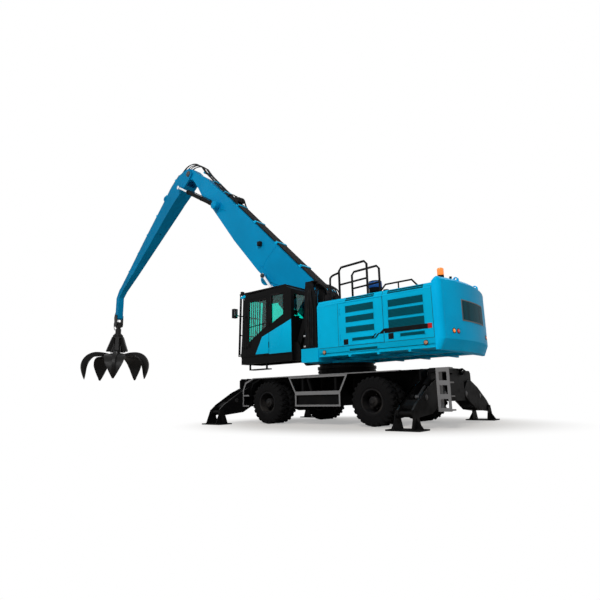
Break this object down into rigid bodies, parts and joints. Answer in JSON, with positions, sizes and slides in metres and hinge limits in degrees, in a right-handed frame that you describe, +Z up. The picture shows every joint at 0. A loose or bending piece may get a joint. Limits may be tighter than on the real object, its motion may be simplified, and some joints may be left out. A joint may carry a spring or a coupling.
{
  "type": "wheeled material handler",
  "caption": "Wheeled material handler with stabilisers, lifting cab, long straight boom, drop-nose stick and orange-peel grab.",
  "frame": {"origin": "on the ground, in the middle of the whole length and width, with the machine parked and its stabilisers down", "axes": "-X to the front, where the grab hangs; +Y to the machine's right; +Z up"},
  "size_m": [17.7298, 4.69, 9.9278],
  "materials": {
    "blue_paint": "gloss",
    "black_paint": "satin",
    "tyre_rubber": "matt",
    "rim_paint": "satin",
    "chrome_rod": "polished",
    "tinted_glass": "tinted",
    "seat_fabric": "woven",
    "cast_steel": "rough",
    "engine_cast": "rough"
  },
  "bodies": {
    "chassis": {"chassis_frame": "black_paint", "slew_ring": "black_paint", "axles": "black_paint", "chassis_guards": "black_paint"},
    "upper": {"upper_frame": "blue_paint", "engine_hood": "blue_paint", "engine_block": "engine_cast", "counterweight": "blue_paint", "roof_rails": "black_paint"},
    "steering_knuckle_left": {"steering_knuckle_left": "black_paint"},
    "steering_knuckle_right": {"steering_knuckle_right": "black_paint"},
    "wheel_front_left": {"tyres_front_left": "tyre_rubber", "rims_front_left": "rim_paint"},
    "wheel_front_right": {"tyres_front_right": "tyre_rubber", "rims_front_right": "rim_paint"},
    "wheel_rear_left": {"tyres_rear_left": "tyre_rubber", "rims_rear_left": "rim_paint"},
    "wheel_rear_right": {"tyres_rear_right": "tyre_rubber", "rims_rear_right": "rim_paint"},
    "stabiliser_arm_front_left": {"stabiliser_arm_front_left": "black_paint"},
    "stabiliser_foot_front_left": {"stabiliser_foot_front_left": "black_paint"},
    "stabiliser_barrel_front_left": {"stabiliser_barrel_front_left": "black_paint"},
    "stabiliser_rod_front_left": {"stabiliser_rod_front_left": "chrome_rod"},
    "stabiliser_arm_front_right": {"stabiliser_arm_front_right": "black_paint"},
    "stabiliser_foot_front_right": {"stabiliser_foot_front_right": "black_paint"},
    "stabiliser_barrel_front_right": {"stabiliser_barrel_front_right": "black_paint"},
    "stabiliser_rod_front_right": {"stabiliser_rod_front_right": "chrome_rod"},
    "stabiliser_arm_rear_left": {"stabiliser_arm_rear_left": "black_paint"},
    "stabiliser_foot_rear_left": {"stabiliser_foot_rear_left": "black_paint"},
    "stabiliser_barrel_rear_left": {"stabiliser_barrel_rear_left": "black_paint"},
    "stabiliser_rod_rear_left": {"stabiliser_rod_rear_left": "chrome_rod"},
    "stabiliser_arm_rear_right": {"stabiliser_arm_rear_right": "black_paint"},
    "stabiliser_foot_rear_right": {"stabiliser_foot_rear_right": "black_paint"},
    "stabiliser_barrel_rear_right": {"stabiliser_barrel_rear_right": "black_paint"},
    "stabiliser_rod_rear_right": {"stabiliser_rod_rear_right": "chrome_rod"},
    "cab_arm_upper": {"cab_arm_upper": "black_paint"},
    "cab_arm_lower": {"cab_arm_lower": "black_paint"},
    "cab_jack_barrel": {"cab_jack_barrel": "black_paint"},
    "cab_jack_rod": {"cab_jack_rod": "chrome_rod"},
    "cab": {"cab_shell": "black_paint", "cab_glass": "tinted_glass", "cab_seat": "seat_fabric", "cab_guard": "black_paint"},
    "cab_door": {"cab_door": "black_paint", "cab_door_glass": "tinted_glass"},
    "hood_door": {"hood_door": "blue_paint"},
    "boom": {"boom": "blue_paint"},
    "stick": {"stick": "blue_paint"},
    "boom_cylinder_barrels": {"boom_cylinder_barrels": "blue_paint"},
    "boom_cylinder_rods": {"boom_cylinder_rods": "chrome_rod"},
    "stick_cylinder_barrels": {"stick_cylinder_barrels": "blue_paint"},
    "stick_cylinder_rods": {"stick_cylinder_rods": "chrome_rod"},
    "grab_link": {"grab_link": "cast_steel"},
    "grab_yoke": {"grab_yoke": "cast_steel"},
    "grab_head": {"grab_head": "cast_steel"},
    "grab_tine_1": {"grab_tine_1": "cast_steel"},
    "grab_tine_2": {"grab_tine_2": "cast_steel"},
    "grab_tine_3": {"grab_tine_3": "cast_steel"},
    "grab_tine_4": {"grab_tine_4": "cast_steel"},
    "grab_tine_5": {"grab_tine_5": "cast_steel"}
  },
  "joints": [
    {"name": "slewing", "type": "hinge", "parent": "chassis", "child": "upper", "pos_m": [5.21, 0, 1.565], "axis": [0, 0, 1], "continuous": true},
    {"name": "steering_left", "type": "hinge", "parent": "chassis", "child": "steering_knuckle_left", "pos_m": [3.55, -0.69, 0.565], "axis": [0, 0, 1], "range_deg": [-22, 22]},
    {"name": "steering_right", "type": "hinge", "parent": "chassis", "child": "steering_knuckle_right", "pos_m": [3.55, 0.69, 0.565], "axis": [0, 0, 1], "range_deg": [-22, 22]},
    {"name": "wheel_spin_front_left", "type": "hinge", "parent": "steering_knuckle_left", "child": "wheel_front_left", "pos_m": [3.55, -1.14, 0.565], "axis": [0, 1, 0], "continuous": true},
    {"name": "wheel_spin_front_right", "type": "hinge", "parent": "steering_knuckle_right", "child": "wheel_front_right", "pos_m": [3.55, 1.14, 0.565], "axis": [0, 1, 0], "continuous": true},
    {"name": "wheel_spin_rear_left", "type": "hinge", "parent": "chassis", "child": "wheel_rear_left", "pos_m": [6.87, -1.14, 0.565], "axis": [0, 1, 0], "continuous": true},
    {"name": "wheel_spin_rear_right", "type": "hinge", "parent": "chassis", "child": "wheel_rear_right", "pos_m": [6.87, 1.14, 0.565], "axis": [0, 1, 0], "continuous": true},
    {"name": "stabiliser_front_left", "type": "hinge", "parent": "chassis", "child": "stabiliser_arm_front_left", "pos_m": [2.23, -0.62, 0.7], "axis": [-1, 0, 0], "range_deg": [0, 40]},
    {"name": "foot_front_left", "type": "hinge", "parent": "stabiliser_arm_front_left", "child": "stabiliser_foot_front_left", "pos_m": [2.23, -2.12, 0.33], "axis": [-1, 0, 0], "range_deg": [-41, 1]},
    {"name": "jack_swing_front_left", "type": "hinge", "parent": "chassis", "child": "stabiliser_barrel_front_left", "pos_m": [2.23, -0.72, 1.165], "axis": [-1, 0, 0], "range_deg": [-1, 39.06]},
    {"name": "jack_stroke_front_left", "type": "slide", "parent": "stabiliser_barrel_front_left", "child": "stabiliser_rod_front_left", "axis": [0, -0.848, -0.53], "range_m": [-0.3307, 0.005]},
    {"name": "stabiliser_front_right", "type": "hinge", "parent": "chassis", "child": "stabiliser_arm_front_right", "pos_m": [2.23, 0.62, 0.7], "axis": [1, 0, 0], "range_deg": [0, 40]},
    {"name": "foot_front_right", "type": "hinge", "parent": "stabiliser_arm_front_right", "child": "stabiliser_foot_front_right", "pos_m": [2.23, 2.12, 0.33], "axis": [1, 0, 0], "range_deg": [-41, 1]},
    {"name": "jack_swing_front_right", "type": "hinge", "parent": "chassis", "child": "stabiliser_barrel_front_right", "pos_m": [2.23, 0.72, 1.165], "axis": [1, 0, 0], "range_deg": [-1, 39.06]},
    {"name": "jack_stroke_front_right", "type": "slide", "parent": "stabiliser_barrel_front_right", "child": "stabiliser_rod_front_right", "axis": [0, 0.848, -0.53], "range_m": [-0.3307, 0.005]},
    {"name": "stabiliser_rear_left", "type": "hinge", "parent": "chassis", "child": "stabiliser_arm_rear_left", "pos_m": [8.06, -0.62, 0.7], "axis": [-1, 0, 0], "range_deg": [0, 40]},
    {"name": "foot_rear_left", "type": "hinge", "parent": "stabiliser_arm_rear_left", "child": "stabiliser_foot_rear_left", "pos_m": [8.06, -2.12, 0.33], "axis": [-1, 0, 0], "range_deg": [-41, 1]},
    {"name": "jack_swing_rear_left", "type": "hinge", "parent": "chassis", "child": "stabiliser_barrel_rear_left", "pos_m": [8.06, -0.72, 1.165], "axis": [-1, 0, 0], "range_deg": [-1, 39.06]},
    {"name": "jack_stroke_rear_left", "type": "slide", "parent": "stabiliser_barrel_rear_left", "child": "stabiliser_rod_rear_left", "axis": [0, -0.848, -0.53], "range_m": [-0.3307, 0.005]},
    {"name": "stabiliser_rear_right", "type": "hinge", "parent": "chassis", "child": "stabiliser_arm_rear_right", "pos_m": [8.06, 0.62, 0.7], "axis": [1, 0, 0], "range_deg": [0, 40]},
    {"name": "foot_rear_right", "type": "hinge", "parent": "stabiliser_arm_rear_right", "child": "stabiliser_foot_rear_right", "pos_m": [8.06, 2.12, 0.33], "axis": [1, 0, 0], "range_deg": [-41, 1]},
    {"name": "jack_swing_rear_right", "type": "hinge", "parent": "chassis", "child": "stabiliser_barrel_rear_right", "pos_m": [8.06, 0.72, 1.165], "axis": [1, 0, 0], "range_deg": [-1, 39.06]},
    {"name": "jack_stroke_rear_right", "type": "slide", "parent": "stabiliser_barrel_rear_right", "child": "stabiliser_rod_rear_right", "axis": [0, 0.848, -0.53], "range_m": [-0.3307, 0.005]},
    {"name": "cab_lift", "type": "hinge", "parent": "upper", "child": "cab_arm_upper", "pos_m": [4.92, 0, 3.18], "axis": [0, 1, 0], "range_deg": [0, 100]},
    {"name": "cab_parallel", "type": "hinge", "parent": "upper", "child": "cab_arm_lower", "pos_m": [5.05, 0, 2.85], "axis": [0, 1, 0], "range_deg": [-1, 101]},
    {"name": "cab_level", "type": "hinge", "parent": "cab_arm_upper", "child": "cab", "pos_m": [4.5, 0, 2.06], "axis": [0, 1, 0], "range_deg": [-101, 1]},
    {"name": "cab_jack_swing", "type": "hinge", "parent": "upper", "child": "cab_jack_barrel", "pos_m": [5.06, 0, 2.01], "axis": [0, 1, 0], "range_deg": [-7.58, 1]},
    {"name": "cab_jack_stroke", "type": "slide", "parent": "cab_jack_barrel", "child": "cab_jack_rod", "axis": [-0.3046, 0, 0.9525], "range_m": [-0.005, 0.5663]},
    {"name": "cab_door", "type": "hinge", "parent": "cab", "child": "cab_door", "pos_m": [3.56, -1.4, 2.7], "axis": [0, 0, 1], "range_deg": [0, 100]},
    {"name": "hood_door", "type": "hinge", "parent": "upper", "child": "hood_door", "pos_m": [6, -1.4, 2.4], "axis": [0, 0, -1], "range_deg": [0, 110]},
    {"name": "boom", "type": "hinge", "parent": "upper", "child": "boom", "pos_m": [4.99, 0, 2.4], "axis": [0, 1, 0], "range_deg": [-45, 25]},
    {"name": "boom_cylinder_swing", "type": "hinge", "parent": "upper", "child": "boom_cylinder_barrels", "pos_m": [4.36, 0, 1.95], "axis": [0, 1, 0], "range_deg": [-49.13, 27.74]},
    {"name": "boom_cylinder_stroke", "type": "slide", "parent": "boom_cylinder_barrels", "child": "boom_cylinder_rods", "axis": [-0.6069, 0, 0.7948], "range_m": [-0.5694, 0.3186]},
    {"name": "stick", "type": "hinge", "parent": "boom", "child": "stick", "pos_m": [-2.046, 0, 9.699], "axis": [0, 1, 0], "range_deg": [-45, 35]},
    {"name": "stick_cylinder_swing", "type": "hinge", "parent": "boom", "child": "stick_cylinder_barrels", "pos_m": [-0.089, 0, 7.701], "axis": [0, 1, 0], "range_deg": [-1.43, 1.55]},
    {"name": "stick_cylinder_stroke", "type": "slide", "parent": "stick_cylinder_barrels", "child": "stick_cylinder_rods", "axis": [-0.8492, 0, 0.528], "range_m": [-0.5039, 0.393]},
    {"name": "grab_swing", "type": "hinge", "parent": "stick", "child": "grab_link", "pos_m": [-7.39, 0, 4.45], "axis": [0, 1, 0], "range_deg": [-45, 45]},
    {"name": "grab_sway", "type": "hinge", "parent": "grab_link", "child": "grab_yoke", "pos_m": [-7.39, 0, 4.03], "axis": [1, 0, 0], "range_deg": [-30, 30]},
    {"name": "grab_rotator", "type": "hinge", "parent": "grab_yoke", "child": "grab_head", "pos_m": [-7.39, 0, 3.63], "axis": [0, 0, 1], "continuous": true},
    {"name": "tine_1", "type": "hinge", "parent": "grab_head", "child": "grab_tine_1", "pos_m": [-7.09469, 0.23914, 2.7], "axis": [-0.6293, 0.7771, 0], "range_deg": [0, 52]},
    {"name": "tine_2", "type": "hinge", "parent": "grab_head", "child": "grab_tine_2", "pos_m": [-7.52618, 0.35476, 2.7], "axis": [-0.9336, -0.3584, 0], "range_deg": [0, 52]},
    {"name": "tine_3", "type": "hinge", "parent": "grab_head", "child": "grab_tine_3", "pos_m": [-7.76948, -0.01989, 2.7], "axis": [0.0523, -0.9986, 0], "range_deg": [0, 52]},
    {"name": "tine_4", "type": "hinge", "parent": "grab_head", "child": "grab_tine_4", "pos_m": [-7.48835, -0.36705, 2.7], "axis": [0.9659, -0.2588, 0], "range_deg": [0, 52]},
    {"name": "tine_5", "type": "hinge", "parent": "grab_head", "child": "grab_tine_5", "pos_m": [-7.0713, -0.20696, 2.7], "axis": [0.5446, 0.8387, 0], "range_deg": [0, 52]}
  ],
  "couplings": [
    {"joint": "steering_right", "follows": "steering_left", "ratio": 1},
    {"joint": "foot_front_left", "follows": "stabiliser_front_left", "ratio": -1},
    {"joint": "jack_swing_front_left", "follows": "stabiliser_front_left", "ratio": 0.95147},
    {"joint": "jack_stroke_front_left", "follows": "stabiliser_front_left", "m_per_rad": -0.4665},
    {"joint": "foot_front_right", "follows": "stabiliser_front_right", "ratio": -1},
    {"joint": "jack_swing_front_right", "follows": "stabiliser_front_right", "ratio": 0.95147},
    {"joint": "jack_stroke_front_right", "follows": "stabiliser_front_right", "m_per_rad": -0.4665},
    {"joint": "foot_rear_left", "follows": "stabiliser_rear_left", "ratio": -1},
    {"joint": "jack_swing_rear_left", "follows": "stabiliser_rear_left", "ratio": 0.95147},
    {"joint": "jack_stroke_rear_left", "follows": "stabiliser_rear_left", "m_per_rad": -0.4665},
    {"joint": "foot_rear_right", "follows": "stabiliser_rear_right", "ratio": -1},
    {"joint": "jack_swing_rear_right", "follows": "stabiliser_rear_right", "ratio": 0.95147},
    {"joint": "jack_stroke_rear_right", "follows": "stabiliser_rear_right", "m_per_rad": -0.4665},
    {"joint": "cab_parallel", "follows": "cab_lift", "ratio": 1},
    {"joint": "cab_level", "follows": "cab_lift", "ratio": -1},
    {"joint": "cab_jack_swing", "follows": "cab_lift", "ratio": -0.06585},
    {"joint": "cab_jack_stroke", "follows": "cab_lift", "m_per_rad": 0.32158},
    {"joint": "boom_cylinder_swing", "follows": "boom", "ratio": 1.0696},
    {"joint": "boom_cylinder_stroke", "follows": "boom", "m_per_rad": 0.71862},
    {"joint": "stick_cylinder_swing", "follows": "stick", "ratio": -0.01223},
    {"joint": "stick_cylinder_stroke", "follows": "stick", "m_per_rad": 0.63522},
    {"joint": "tine_2", "follows": "tine_1", "ratio": 1},
    {"joint": "tine_3", "follows": "tine_1", "ratio": 1},
    {"joint": "tine_4", "follows": "tine_1", "ratio": 1},
    {"joint": "tine_5", "follows": "tine_1", "ratio": 1}
  ]
}
